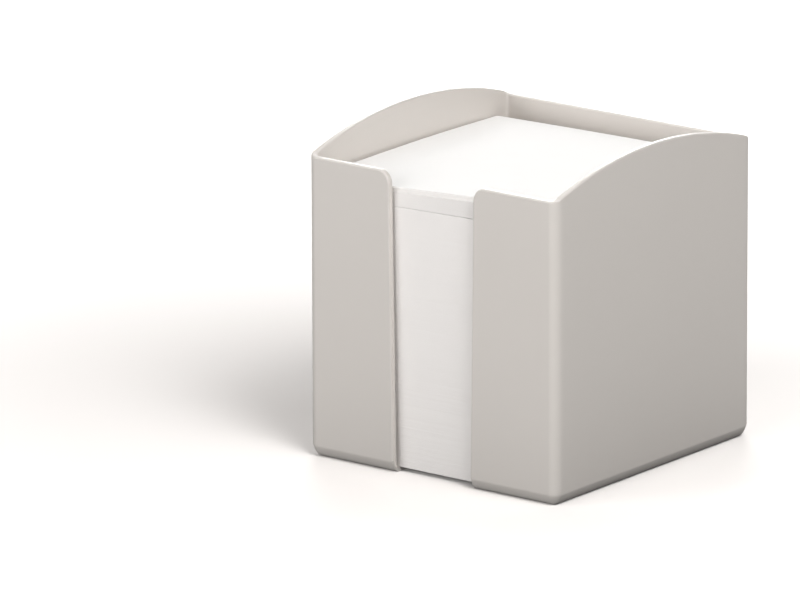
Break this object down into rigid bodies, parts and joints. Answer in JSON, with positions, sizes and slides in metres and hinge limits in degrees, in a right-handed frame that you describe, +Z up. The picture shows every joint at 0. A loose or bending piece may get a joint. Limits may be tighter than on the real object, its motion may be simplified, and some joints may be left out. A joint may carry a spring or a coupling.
{
  "type": "note box with loose note sheets",
  "caption": "Open-topped desk box for square note sheets, with arched side walls, a full-height front slot, a floor notch and a stack of loose sheets that lift out.",
  "frame": {"origin": "middle of the box's footprint, on the surface that it stands on", "axes": "+Z up, -Y towards the slotted front, +X to the right as seen from the front"},
  "size_m": [0.096, 0.1012, 0.1046],
  "materials": {
    "box_plastic": "light warm grey injection-moulded plastic with a fine satin surface",
    "note_paper": "plain white uncoated note paper"
  },
  "bodies": {
    "box": {"note_box": "box_plastic"},
    "lower_stack": {"sheets_001_to_050": "note_paper", "sheets_051_to_100": "note_paper", "sheets_101_to_150": "note_paper", "sheets_151_to_200": "note_paper", "sheets_201_to_250": "note_paper", "sheets_251_to_300": "note_paper", "sheets_301_to_350": "note_paper", "sheets_351_to_400": "note_paper", "sheets_401_to_450": "note_paper", "sheets_451_to_500": "note_paper", "sheets_501_to_550": "note_paper", "sheets_551_to_600": "note_paper", "sheets_601_to_650": "note_paper", "sheets_651_to_700": "note_paper", "sheets_701_to_750": "note_paper"},
    "upper_pad": {"upper_pad": "note_paper"},
    "loose_sheets": {"loose_sheets": "note_paper"},
    "top_sheet": {"top_sheet": "note_paper"}
  },
  "joints": [
    {"name": "lower_stack_lift", "type": "slide", "parent": "box", "child": "lower_stack", "axis": [0, 0, 1], "range_m": [0, 0.105]},
    {"name": "upper_pad_lift", "type": "slide", "parent": "lower_stack", "child": "upper_pad", "axis": [0, 0, 1], "range_m": [0, 0.022]},
    {"name": "loose_sheets_lift", "type": "slide", "parent": "upper_pad", "child": "loose_sheets", "axis": [0, 0, 1], "range_m": [0, 0.02]},
    {"name": "top_sheet_lift", "type": "slide", "parent": "loose_sheets", "child": "top_sheet", "axis": [0, 0, 1], "range_m": [0, 0.02]}
  ]
}
